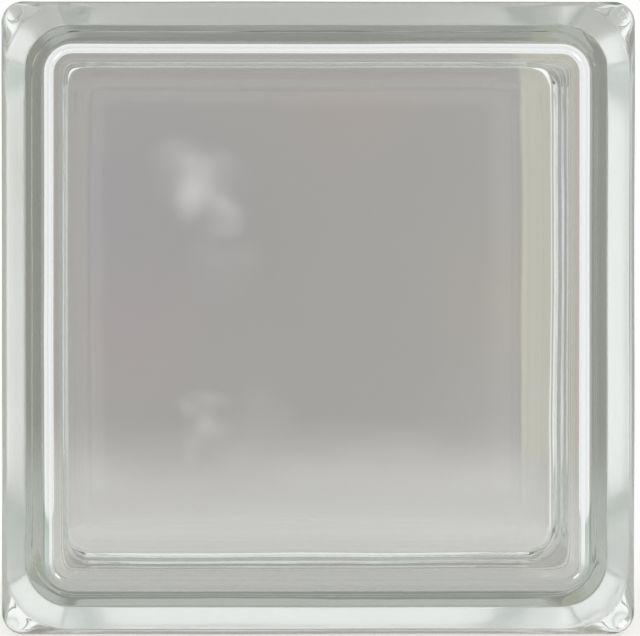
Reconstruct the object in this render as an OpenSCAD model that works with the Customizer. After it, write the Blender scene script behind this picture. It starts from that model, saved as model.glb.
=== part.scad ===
// Hollow glass block, standing on its bottom edge.
// Two pressed dishes of clear glass are fused face to face into one sealed piece.
// Units are millimetres. Width is X, depth is Y and height is Z, and the front face looks along -Y.
// The origin is the middle of the bottom edge.

/* [Block] */
// Width across the face
block_w = 190; // [140:1:300]
// Height of the face
block_h = 190; // [140:1:300]
// Depth from face to face
block_d = 80; // [76:1:100]

/* [Rim] */
// Depth of the flat land behind each face
rim_land = 10.5; // [6:0.5:12]
// Corner radius of the faces
rim_corner_r = 6.5; // [5:0.5:9]
// Radius rolled on the edge of each face
rim_edge_r = 2; // [0.5:0.25:3.5]

/* [Mortar channel] */
// Depth of the channel below the rims
channel_depth = 5.6; // [3:0.1:6.5]
// Width of the flat channel floor
channel_floor_w = 41; // [20:1:48]
// Corner radius of the channel floor
channel_corner_r = 14; // [6:0.5:16]

/* [Seam] */
// Width of the fused bead round the middle of the channel
seam_w = 4; // [2:0.25:6]
// Height of the fused bead above the channel floor
seam_h = 0.4; // [0.2:0.1:1.2]

/* [Cavity] */
// Thickness of each face
face_t = 7.5; // [5:0.5:12]
// Thickness of the side walls at the seam
wall_t = 4.4; // [3:0.1:8]
// Radius of the edges inside the cavity
cavity_r = 9; // [3:0.5:9]
// Corner radius of the cavity at the seam
cavity_corner_r = 10.5; // [10.5:0.5:14]
// Draft of the cavity walls, widening towards the seam
cavity_draft = 1.5; // [0.5:0.25:2.25]

/* [Hidden] */
$fn = 96;
glass_colour = [0.80, 0.86, 0.82, 0.5];

half_w = block_w / 2;
half_h = block_h / 2;
half_d = block_d / 2;
rim_back = half_d - rim_land;
floor_half = channel_floor_w / 2;
flank_r = channel_corner_r + channel_depth;
flank_slope = channel_depth / (rim_back - floor_half);
flare_end = half_d + rim_edge_r;
flare_r = flank_r + (flare_end - rim_back) * flank_slope;
seam_bead_r = (pow(seam_h, 2) + pow(seam_w / 2, 2)) / (2 * seam_h);
cavity_half_d = half_d - face_t;
cavity_inset = channel_depth + wall_t;
draft_run = (cavity_half_d - cavity_r) * tan(cavity_draft);
wall_end_r = cavity_corner_r - draft_run;
edge_centre = wall_end_r - cavity_r;

// Sweeps a section round a rectangle with round corners and fills the middle.
// The section starts at the corner's centre line, X points outwards and Y is the depth.
module swept_slab(half_x, half_y, corner_r) {
    for (quarter = [0:3]) {
        across = quarter % 2 == 0 ? half_x : half_y;
        along = quarter % 2 == 0 ? half_y : half_x;
        rotate([0, 0, 90 * quarter])
            translate([across - corner_r, along - corner_r, 0]) {
                rotate_extrude(angle = 90) children();
                rotate([90, 0, 0]) linear_extrude(2 * (along - corner_r)) children();
            }
    }
}

// A plain plate that fills the middle of a swept slab
module core_plate(half_x, half_y, corner_r, from, to) {
    translate([corner_r - half_x, corner_r - half_y, from])
        cube([2 * (half_x - corner_r), 2 * (half_y - corner_r), to - from]);
}

// Section of the plain outside, with the edges of both faces rolled over
module rim_section() {
    translate([0, rim_edge_r - half_d]) square([rim_corner_r, block_d - 2 * rim_edge_r]);
    translate([0, -half_d]) square([rim_corner_r - rim_edge_r, block_d]);
    for (end = [-1, 1])
        translate([rim_corner_r - rim_edge_r, end * (half_d - rim_edge_r)]) circle(rim_edge_r);
}

// The plain outside that both rims are part of
module rim_slab() {
    swept_slab(half_w, half_h, rim_corner_r) rim_section();
    core_plate(half_w, half_h, rim_corner_r, -half_d, half_d);
}

// Section of the sides: two flanks that flare out past the rims, the channel floor and the fused bead
module channel_section() {
    polygon([
        [0, -flare_end],
        [flare_r, -flare_end],
        [channel_corner_r, -floor_half],
        [channel_corner_r, floor_half],
        [flare_r, flare_end],
        [0, flare_end]
    ]);
    intersection() {
        translate([channel_corner_r + seam_h - seam_bead_r, 0]) circle(seam_bead_r);
        translate([channel_corner_r - seam_h, -seam_w]) square([3 * seam_h, 2 * seam_w]);
    }
}

// The flared sides, which trim the plain outside to the channel and narrow the rims' lands at the corners
module flared_sides() {
    swept_slab(half_w, half_h, flank_r) channel_section();
    core_plate(half_w, half_h, flank_r, -flare_end, flare_end);
}

// Section of the cavity, with its faces rounded into drafted walls
module cavity_section() {
    difference() {
        union() {
            polygon([
                [0, -cavity_half_d + cavity_r],
                [wall_end_r, -cavity_half_d + cavity_r],
                [cavity_corner_r, 0],
                [wall_end_r, cavity_half_d - cavity_r],
                [0, cavity_half_d - cavity_r]
            ]);
            translate([0, -cavity_half_d]) square([edge_centre, 2 * cavity_half_d]);
            for (end = [-1, 1])
                translate([edge_centre, end * (cavity_half_d - cavity_r)]) circle(cavity_r);
        }
        translate([-2 * cavity_r, -block_d]) square([2 * cavity_r, 2 * block_d]);
    }
}

// The sealed air space
module cavity() {
    swept_slab(half_w - cavity_inset, half_h - cavity_inset, cavity_corner_r) cavity_section();
    core_plate(half_w - cavity_inset, half_h - cavity_inset, cavity_corner_r, -cavity_half_d, cavity_half_d);
}

module glass_block() {
    color(glass_colour)
        translate([0, 0, half_h])
            rotate([90, 0, 0])
                difference() {
                    intersection() {
                        rim_slab();
                        flared_sides();
                    }
                    cavity();
                }
}

glass_block();
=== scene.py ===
"""A clear hollow glass block on a pale floor, seen face on.

Sizes are in millimetres until MM turns them into metres.
"""
import math

import bpy
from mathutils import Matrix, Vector, noise


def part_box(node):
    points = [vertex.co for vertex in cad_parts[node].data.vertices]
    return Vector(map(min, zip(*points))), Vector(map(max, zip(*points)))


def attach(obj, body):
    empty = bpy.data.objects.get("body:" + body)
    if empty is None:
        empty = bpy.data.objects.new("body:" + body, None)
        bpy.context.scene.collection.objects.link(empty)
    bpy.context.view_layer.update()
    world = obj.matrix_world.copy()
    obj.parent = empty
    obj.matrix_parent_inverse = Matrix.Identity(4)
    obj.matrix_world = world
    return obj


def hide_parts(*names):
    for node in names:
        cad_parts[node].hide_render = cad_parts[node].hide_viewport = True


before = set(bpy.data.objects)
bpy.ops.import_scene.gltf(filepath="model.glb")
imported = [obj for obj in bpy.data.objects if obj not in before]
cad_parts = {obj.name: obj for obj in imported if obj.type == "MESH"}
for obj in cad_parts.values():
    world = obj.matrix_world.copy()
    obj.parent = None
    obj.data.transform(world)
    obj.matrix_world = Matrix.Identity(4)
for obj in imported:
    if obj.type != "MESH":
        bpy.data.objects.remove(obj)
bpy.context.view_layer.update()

MM = 0.001
NODE = "glass_block"
BLOCK_LOW, BLOCK_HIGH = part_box(NODE)

# The block's own sizes
HALF_W = (BLOCK_HIGH.x - BLOCK_LOW.x) / 2 / MM
HALF_H = (BLOCK_HIGH.z - BLOCK_LOW.z) / 2 / MM
HALF_D = (BLOCK_HIGH.y - BLOCK_LOW.y) / 2 / MM
RIM_LAND = 10.5
RIM_CORNER_R = 6.5
RIM_EDGE_R = 2.0
CHANNEL_DEPTH = 5.6
CHANNEL_FLOOR_W = 41.0
CHANNEL_CORNER_R = 14.0
SEAM_W = 4.0
SEAM_H = 0.4
FACE_T = 7.5
WALL_T = 4.4
CAVITY_R = 9.0
CAVITY_CORNER_R = 10.5
CAVITY_DRAFT = 1.5

# How far the flanks cut into the lands at the corners
CORNER_RUN = 8.7
# Small roundings where the flanks meet the lands and the channel floor
LAND_SOFT_R = 2.0
FLOOR_SOFT_R = 2.0

# Fineness of the mesh: each face is a flat grid, and rings go from there round the edge to the other face
SIDE_STEPS = 60
CORNER_STEPS = 16
RIM_STEP = 0.9
CAVITY_STEP = 1.0
ARC_STEP_DEG = 6
ARC_LEAST_STEPS = 3
GRID_INSET = 26.0
RING_GAP = 4.0
FIRST_RING_INSET = GRID_INSET - RING_GAP
# The smallest corner radius of a ring on the outside and in the air space
OUTSIDE_LEAST_R = 0.8
CAVITY_LEAST_R = 0.6

# Pressed glass is never quite flat: each wave's reach and height, for the outside and the air space
OUTSIDE_WAVES = ((48.0, 0.13), (13.0, 0.018))
CAVITY_WAVES = ((58.0, 0.25), (22.0, 0.06), (12.0, 0.022))
# Where in the noise each of the two starts
OUTSIDE_WAVE_START = 3.0
CAVITY_WAVE_START = 8.0

# The dull glass of the flanks starts this far before the end of the land
FLANK_MARGIN = 0.8
# Its place among the mesh's materials
DULL_GLASS = 1


def arc_polyline(points, step):
    """Turns corner points (x, y, radius) into a polyline with arcs at the corners.

    The polyline's points are about step apart.
    """
    out = [Vector(points[0][:2])]
    for before, here, after in zip(points, points[1:], points[2:]):
        corner = Vector(here[:2])
        to_before = (Vector(before[:2]) - corner).normalized()
        to_after = (Vector(after[:2]) - corner).normalized()
        half_angle = to_before.angle(to_after) / 2
        reach = here[2] / math.tan(half_angle)
        centre = corner + (to_before + to_after).normalized() * (here[2] / math.sin(half_angle))
        first = corner + to_before * reach - centre
        last = corner + to_after * reach - centre
        turn = first.angle_signed(last)
        by_length = round(abs(turn) * here[2] / step)
        by_angle = round(abs(math.degrees(turn)) / ARC_STEP_DEG)
        count = max(ARC_LEAST_STEPS, by_length, by_angle)
        add_line(out, centre + first, step)
        for index in range(1, count + 1):
            angle = turn * index / count
            rotated = Vector((
                first.x * math.cos(angle) + first.y * math.sin(angle),
                first.y * math.cos(angle) - first.x * math.sin(angle),
            ))
            out.append(centre + rotated)
    add_line(out, Vector(points[-1][:2]), step)
    return out


def add_line(out, end, step):
    """Adds a straight stretch from the last point to end."""
    start = out[-1].copy()
    count = max(1, round((end - start).length / step))
    out.extend(start.lerp(end, index / count) for index in range(1, count + 1))


def ring(half_x, half_z, radius, depth):
    """Points of a rectangle with round corners.

    They start at the right side's foot and run counter-clockwise as seen from the front.
    """
    points = []
    for out_x, out_z in ((1, 0), (0, 1), (-1, 0), (0, -1)):
        out = Vector((out_x, out_z))
        along = Vector((-out_z, out_x))
        across_half = half_x if out_x else half_z
        along_half = half_z if out_x else half_x
        for index in range(SIDE_STEPS):
            place = (2 * index / SIDE_STEPS - 1) * (along_half - radius)
            points.append(out * across_half + along * place)
        centre = out * (across_half - radius) + along * (along_half - radius)
        for index in range(CORNER_STEPS):
            angle = math.pi / 2 * index / CORNER_STEPS
            points.append(centre + (out * math.cos(angle) + along * math.sin(angle)) * radius)
    return [Vector((p.x, depth, p.y)) for p in points]


def face_grid(half_x, half_z, depth):
    """Points of a plain square grid, row by row."""
    steps = range(SIDE_STEPS + 1)
    return [
        Vector(((2 * i / SIDE_STEPS - 1) * half_x, depth, (2 * j / SIDE_STEPS - 1) * half_z))
        for j in steps for i in steps
    ]


def grid_edge():
    """Grid indices that meet a ring's points: a whole corner arc shares the grid's corner."""
    n = SIDE_STEPS
    width = n + 1
    sides = (
        [j * width + n for j in range(width)],
        [n * width + n - i for i in range(width)],
        [(n - j) * width for j in range(width)],
        list(range(width)),
    )
    order = []
    for side in sides:
        order += side[:-1] + [side[-1]] * CORNER_STEPS
    return order


def shell(levels):
    """A closed surface through the levels (inset, radius, depth): a grid, rings and a grid."""
    vertices = []
    faces = []

    def add_grid(depth, flip):
        base = len(vertices)
        vertices.extend(face_grid(HALF_W - GRID_INSET, HALF_H - GRID_INSET, depth))
        width = SIDE_STEPS + 1
        for j in range(SIDE_STEPS):
            for i in range(SIDE_STEPS):
                a = base + j * width + i
                quad = [a, a + 1, a + 1 + width, a + width]
                faces.append(quad[::-1] if flip else quad)
        return [base + k for k in grid_edge()]

    def join(outer, inner):
        count = len(outer)
        for k in range(count):
            after = (k + 1) % count
            quad = [outer[k], outer[after], inner[after], inner[k]]
            if quad[2] == quad[3]:
                quad.pop()
            if quad[0] == quad[1]:
                quad.pop(0)
            faces.append(quad)

    previous = add_grid(levels[0][2], False)
    for inset, radius, depth in levels:
        base = len(vertices)
        vertices.extend(ring(HALF_W - inset, HALF_H - inset, radius, depth))
        current = list(range(base, len(vertices)))
        join(current, previous)
        previous = current
    last = add_grid(levels[-1][2], True)
    join(last, previous)
    return vertices, faces


def mirrored(half):
    """Adds the back half to the levels of the front half."""
    return half + [(inset, radius, -depth) for inset, radius, depth in half[-2::-1]]


def outer_levels():
    """Rings of the outside, from the front face to the seam and on to the back."""
    floor_half = CHANNEL_FLOOR_W / 2
    flank_r = CHANNEL_CORNER_R + CHANNEL_DEPTH
    line = arc_polyline([
        (FIRST_RING_INSET, -HALF_D),
        (0, -HALF_D, RIM_EDGE_R),
        (0, RIM_LAND - HALF_D, LAND_SOFT_R),
        (CHANNEL_DEPTH, -floor_half, FLOOR_SOFT_R),
        (CHANNEL_DEPTH, 0),
    ], RIM_STEP)
    half = []
    for inset, depth in line:
        past_land = depth + HALF_D - RIM_LAND
        if past_land < 0:
            widen = max(0.0, 1 + past_land / CORNER_RUN)
            radius = max(RIM_CORNER_R - inset, OUTSIDE_LEAST_R) + (flank_r - RIM_CORNER_R) * widen
        else:
            radius = flank_r - inset
        bead = SEAM_H * max(0.0, 1 - (2 * depth / SEAM_W) ** 2)
        half.append((inset - bead, radius, depth))
    return mirrored(half)


def cavity_levels():
    """Rings of the air space, from front to back."""
    half_d = HALF_D - FACE_T
    seam_inset = CHANNEL_DEPTH + WALL_T
    run = half_d * math.tan(math.radians(CAVITY_DRAFT))
    line = arc_polyline([
        (FIRST_RING_INSET, -half_d),
        (seam_inset + run, -half_d, CAVITY_R),
        (seam_inset, 0),
    ], CAVITY_STEP)
    return mirrored([
        (inset, max(CAVITY_CORNER_R - (inset - seam_inset), CAVITY_LEAST_R), depth)
        for inset, depth in line
    ])


def wave(point, waves, start):
    """Height of the glass's waves at a point."""
    shift = Vector((start, 0, start))
    return sum(height * noise.noise(point / reach + shift) for reach, height in waves)


def glass_mesh():
    """The outside and the air space as one mesh, both with the waves of pressed glass."""
    vertices, faces = shell(outer_levels())
    inner_vertices, inner_faces = shell(cavity_levels())
    base = len(vertices)
    outside_faces = len(faces)
    vertices += inner_vertices
    # The air space's faces look into the air, so they are turned round
    faces += [[base + k for k in face[::-1]] for face in inner_faces]
    mesh = bpy.data.meshes.new("glass_block_visual")
    mesh.from_pydata(vertices, [], faces)
    mesh.validate()
    mesh.update()
    for polygon in mesh.polygons[:outside_faces]:
        behind_face = HALF_D - abs(polygon.center.y)
        if RIM_LAND - FLANK_MARGIN < behind_face < HALF_D - CHANNEL_FLOOR_W / 2:
            polygon.material_index = DULL_GLASS
    normals = [Vector(n.vector) for n in mesh.vertex_normals]
    # The outside's waves only go inwards, so the glass stays within the block's size
    lowered = sum(height for _, height in OUTSIDE_WAVES) / 2
    for vertex in mesh.vertices:
        if vertex.index < base:
            push = min(0.0, wave(vertex.co, OUTSIDE_WAVES, OUTSIDE_WAVE_START) - lowered)
        else:
            push = wave(vertex.co, CAVITY_WAVES, CAVITY_WAVE_START)
        vertex.co = (vertex.co + normals[vertex.index] * push + Vector((0, 0, HALF_H))) * MM
    mesh.update()
    mesh.shade_smooth()
    return mesh


GLASS_IOR = 1.52
ABSORB_COLOUR = (0.37, 0.52, 0.42, 1.0)
ABSORB_DENSITY = 7.0
# The flanks' dull skin: its roughness, the share of light it scatters and the share of that it throws back
FROST_ROUGHNESS = 0.12
FROST_SHARE = 0.12
FROST_REFLECT = 0.3
FROST_COLOUR = (0.93, 0.94, 0.93, 1)
WHITE = (1, 1, 1, 1)


def glass_material(name, roughness):
    """Clear glass with a faint green tint through its depth."""
    mat = bpy.data.materials.new(name)
    mat.use_nodes = True
    tree = mat.node_tree
    shader = tree.nodes["Principled BSDF"]
    shader.inputs["Base Color"].default_value = WHITE
    shader.inputs["Roughness"].default_value = roughness
    shader.inputs["IOR"].default_value = GLASS_IOR
    shader.inputs["Transmission Weight"].default_value = 1.0
    absorb = tree.nodes.new("ShaderNodeVolumeAbsorption")
    absorb.inputs["Color"].default_value = ABSORB_COLOUR
    absorb.inputs["Density"].default_value = ABSORB_DENSITY
    tree.links.new(absorb.outputs["Volume"], tree.nodes["Material Output"].inputs["Volume"])
    return mat


def frosted_material():
    """Glass whose finely roughened skin scatters part of the light."""
    mat = glass_material("frosted_flank_glass", FROST_ROUGHNESS)
    tree = mat.node_tree

    def shader_mix(share, first, second):
        node = tree.nodes.new("ShaderNodeMixShader")
        node.inputs[0].default_value = share
        tree.links.new(first.outputs[0], node.inputs[1])
        tree.links.new(second.outputs[0], node.inputs[2])
        return node

    scatter = tree.nodes.new("ShaderNodeBsdfTranslucent")
    scatter.inputs["Color"].default_value = FROST_COLOUR
    reflect = tree.nodes.new("ShaderNodeBsdfDiffuse")
    reflect.inputs["Color"].default_value = FROST_COLOUR
    milk = shader_mix(FROST_REFLECT, scatter, reflect)
    skin = shader_mix(FROST_SHARE, tree.nodes["Principled BSDF"], milk)
    tree.links.new(skin.outputs[0], tree.nodes["Material Output"].inputs["Surface"])
    return mat


mesh = glass_mesh()
block = bpy.data.objects.new("glass_block_clear", mesh)
bpy.context.scene.collection.objects.link(block)
mesh.materials.append(glass_material("clear_pressed_glass", 0.0))
mesh.materials.append(frosted_material())
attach(block, "root")
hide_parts(NODE)


# The room's light by degrees from straight behind the block: a grey backdrop, white sides, a dimmer front
ROOM = (
    (0, (0.335, 0.317, 0.307)),
    (14, (0.350, 0.331, 0.320)),
    (54.5, (0.362, 0.345, 0.332)),
    (59, (0.95, 0.94, 0.92)),
    (63, (1.10, 1.10, 1.09)),
    (70, (1.13, 1.13, 1.13)),
    (95, (0.97, 0.97, 0.97)),
    (112, (0.95, 0.95, 0.95)),
    (150, (1.25, 1.25, 1.25)),
    (165, (1.1, 1.1, 1.1)),
    (170, (0.75, 0.75, 0.75)),
    (180, (0.68, 0.68, 0.68)),
)
# Paler parts of the room: axis, the degrees along it where each starts and where it is full, colour
PALE_ZONES = (
    ("Z", -7.0, -10.6, (0.545, 0.53, 0.515, 1)),
    ("X", 11.3, 11.9, (0.48, 0.465, 0.395, 1)),
)
# Soft lamps behind the camera, then faint tints of the backdrop: direction, reach in degrees, added colour
GLOWS = (
    (Vector((-0.030, -1.0, 0.030)), 1.2, (1.9, 1.9, 1.9)),
    (Vector((-0.021, -1.0, -0.130)), 0.95, (1.4, 1.4, 1.4)),
    (Vector((-0.012, -1.0, -0.014)), 1.5, (0.3, 0.3, 0.3)),
    (Vector((0.013, -1.0, -0.128)), 1.3, (0.25, 0.24, 0.24)),
    (Vector((0.08, 1.0, 0.105)), 4.5, (0.020, -0.004, -0.010)),
    (Vector((-0.095, 1.0, 0.02)), 7.0, (-0.006, -0.016, 0.006)),
    (Vector((-0.07, 1.0, -0.07)), 4.0, (0.016, -0.004, 0.0)),
    (Vector((0.20, 1.0, -0.04)), 6.0, (0.022, 0.012, -0.012)),
)
# Sockets of a Mix node that mixes colours
MIX_FIRST, MIX_SECOND, MIX_RESULT = 6, 7, 2


def smooth_change(tree, value, start, end, low=0.0, high=1.0):
    """Goes smoothly from low to high while the value goes from start to end."""
    node = tree.nodes.new("ShaderNodeMapRange")
    node.interpolation_type = "SMOOTHSTEP"
    node.inputs["From Min"].default_value = start
    node.inputs["From Max"].default_value = end
    node.inputs["To Min"].default_value = low
    node.inputs["To Max"].default_value = high
    tree.links.new(value, node.inputs["Value"])
    return node.outputs[0]


def colour_mix(tree, factor, first, second, blend="MIX"):
    """Mixes the second colour over the first; each is a socket or a plain colour."""
    node = tree.nodes.new("ShaderNodeMix")
    node.data_type = "RGBA"
    node.blend_type = blend
    tree.links.new(factor, node.inputs["Factor"])
    for socket, colour in ((MIX_FIRST, first), (MIX_SECOND, second)):
        if isinstance(colour, bpy.types.NodeSocket):
            tree.links.new(colour, node.inputs[socket])
        else:
            node.inputs[socket].default_value = colour
    return node.outputs[MIX_RESULT]


def room_light(tree, direction, parts):
    """The room's colour in a direction, which parts holds as X, Y and Z."""
    nodes, links = tree.nodes, tree.links
    angle = nodes.new("ShaderNodeMath")
    angle.operation = "ARCCOSINE"
    links.new(parts["Y"], angle.inputs[0])
    share = nodes.new("ShaderNodeMath")
    share.operation = "DIVIDE"
    links.new(angle.outputs[0], share.inputs[0])
    share.inputs[1].default_value = math.pi
    room = nodes.new("ShaderNodeValToRGB")
    links.new(share.outputs[0], room.inputs["Fac"])
    stops = room.color_ramp.elements
    stops[0].position, stops[1].position = 0.0, 1.0
    for degrees, _ in ROOM[1:-1]:
        stops.new(degrees / 180)
    for stop, (_, colour) in zip(stops, ROOM):
        stop.color = (*colour, 1)
    light = room.outputs["Color"]
    for axis, start, full, colour in PALE_ZONES:
        start_sine, full_sine = math.sin(math.radians(start)), math.sin(math.radians(full))
        zone = smooth_change(tree, parts[axis], start_sine, full_sine)
        light = colour_mix(tree, zone, light, colour, "LIGHTEN")
    for middle, reach, colour in GLOWS:
        away = nodes.new("ShaderNodeVectorMath")
        away.operation = "DISTANCE"
        links.new(direction, away.inputs[0])
        away.inputs[1].default_value = middle.normalized()
        glow = smooth_change(tree, away.outputs["Value"], 0.0, math.radians(reach), 1.0, 0.0)
        total = nodes.new("ShaderNodeVectorMath")
        total.operation = "MULTIPLY_ADD"
        links.new(glow, total.inputs[0])
        total.inputs[1].default_value = colour
        links.new(light, total.inputs[2])
        light = total.outputs[0]
    return light


def studio_world():
    """Light from all round; the camera alone sees plain white there."""
    world = bpy.data.worlds.new("studio")
    bpy.context.scene.world = world
    world.use_nodes = True
    tree = world.node_tree
    coords = tree.nodes.new("ShaderNodeTexCoord")
    direction = coords.outputs["Generated"]
    split = tree.nodes.new("ShaderNodeSeparateXYZ")
    tree.links.new(direction, split.inputs[0])
    light = room_light(tree, direction, split.outputs)
    path = tree.nodes.new("ShaderNodeLightPath")
    seen = colour_mix(tree, path.outputs["Is Camera Ray"], light, WHITE)
    tree.links.new(seen, tree.nodes["Background"].inputs["Color"])


# The floor, in metres: it is whole up to FLOOR_CLEAR from its middle and has faded out at FLOOR_END
FLOOR_CLEAR = 0.09
FLOOR_END = 0.21
FLOOR_MARGIN = 0.05
FLOOR_DROP = 0.0002
FLOOR_SIDES = 96
FLOOR_ROUGHNESS = 0.7
# Its colour and glow as the glass sees them and as the camera does
FLOOR_COLOUR = (0.12, 0.12, 0.115, 1)
FLOOR_CAMERA_COLOUR = (0.50, 0.50, 0.49, 1)
FLOOR_GLOW = 0.48
FLOOR_CAMERA_GLOW = 0.55
FLOOR_GLOW_COLOUR = (1, 0.985, 0.955, 1)


def floor():
    """A pale floor that fades out round the block; the camera sees it nearly white, with a shadow."""
    bpy.ops.mesh.primitive_circle_add(
        vertices=FLOOR_SIDES,
        radius=FLOOR_END + FLOOR_MARGIN,
        fill_type="NGON",
        location=(0, 0, -FLOOR_DROP),
    )
    disc = bpy.context.object
    disc.name = "floor"
    mat = bpy.data.materials.new("pale_floor")
    mat.use_nodes = True
    tree = mat.node_tree
    paint = tree.nodes["Principled BSDF"]
    paint.inputs["Roughness"].default_value = FLOOR_ROUGHNESS
    paint.inputs["Emission Color"].default_value = FLOOR_GLOW_COLOUR
    camera_ray = tree.nodes.new("ShaderNodeLightPath").outputs["Is Camera Ray"]
    tone = colour_mix(tree, camera_ray, FLOOR_COLOUR, FLOOR_CAMERA_COLOUR)
    tree.links.new(tone, paint.inputs["Base Color"])
    glow = smooth_change(tree, camera_ray, 0.0, 1.0, FLOOR_GLOW, FLOOR_CAMERA_GLOW)
    tree.links.new(glow, paint.inputs["Emission Strength"])
    coords = tree.nodes.new("ShaderNodeTexCoord")
    away = tree.nodes.new("ShaderNodeVectorMath")
    away.operation = "LENGTH"
    tree.links.new(coords.outputs["Object"], away.inputs[0])
    fade = smooth_change(tree, away.outputs["Value"], FLOOR_CLEAR, FLOOR_END, 1.0, 0.0)
    tree.links.new(fade, paint.inputs["Alpha"])
    disc.data.materials.append(mat)


# The camera's place from the middle of the block: to the left, in front and above
CAMERA_SIDE = -25.0
CAMERA_FRONT = -470.0
CAMERA_ABOVE = 25.0
CAMERA_AT = Vector((CAMERA_SIDE, CAMERA_FRONT, HALF_H + CAMERA_ABOVE))
PITCH_DEG = -0.3
YAW_DEG = 0.2
# The frame's width at the front face, and how far the lens shift puts its middle from the face's
FRAME_W = 191.2
FRAME_SIDE = 0.35
FRAME_UP = 0.15
SENSOR_W = 36.0
CLIP_START = 0.01


def camera():
    """A camera at the photograph's viewing angle."""
    data = bpy.data.cameras.new("camera")
    cam = bpy.data.objects.new("camera", data)
    bpy.context.scene.collection.objects.link(cam)
    bpy.context.scene.camera = cam
    cam.location = CAMERA_AT * MM
    cam.rotation_euler = (math.radians(90 + PITCH_DEG), 0, math.radians(-YAW_DEG))
    distance = -HALF_D - CAMERA_AT.y
    aim_side = CAMERA_AT.x + distance * math.tan(math.radians(YAW_DEG))
    aim_up = CAMERA_AT.z + distance * math.tan(math.radians(PITCH_DEG))
    data.sensor_width = SENSOR_W
    data.lens = SENSOR_W * distance / FRAME_W
    data.shift_x = (FRAME_SIDE - aim_side) / FRAME_W
    data.shift_y = (HALF_H + FRAME_UP - aim_up) / FRAME_W
    data.clip_start = CLIP_START


studio_world()
floor()
camera()
scene = bpy.context.scene
scene.view_settings.view_transform = "Standard"
# Light crosses many surfaces of the hollow block
scene.cycles.max_bounces = 40
scene.cycles.transmission_bounces = 32
scene.cycles.glossy_bounces = 24
scene.cycles.transparent_max_bounces = 16
